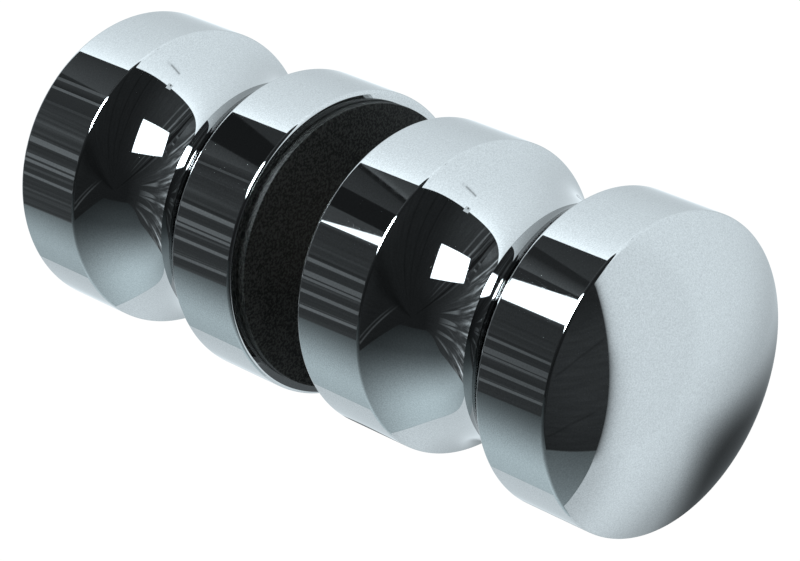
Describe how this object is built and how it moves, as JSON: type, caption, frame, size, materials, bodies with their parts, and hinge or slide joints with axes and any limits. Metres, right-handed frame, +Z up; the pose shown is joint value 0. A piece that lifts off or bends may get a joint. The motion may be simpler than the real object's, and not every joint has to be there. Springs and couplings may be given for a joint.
{
  "type": "shower door handle",
  "caption": "Back-to-back shower door handle: turned chrome knobs with plain bands, a scooped waist and a domed end, clamped through a glass door on black rubber gaskets.",
  "frame": {"origin": "on the knobs' common axis, in the middle of the glass door's thickness", "axes": "Y is the knobs' common axis and the door's normal, with the front knob towards -Y; +Z is up along the door"},
  "size_m": [0.032, 0.0864, 0.032],
  "materials": {
    "polished_chrome": "bright polished chrome plate on turned brass",
    "black_rubber": "matt moulded black rubber with a fine grain",
    "white_nylon": "natural white nylon, matt",
    "zinc_steel": "bright zinc-plated steel thread"
  },
  "bodies": {
    "root": {"front_knob": "polished_chrome", "back_knob": "polished_chrome", "front_gasket": "black_rubber", "back_gasket": "black_rubber", "glass_bush": "white_nylon", "threaded_stud": "zinc_steel"}
  },
  "joints": []
}
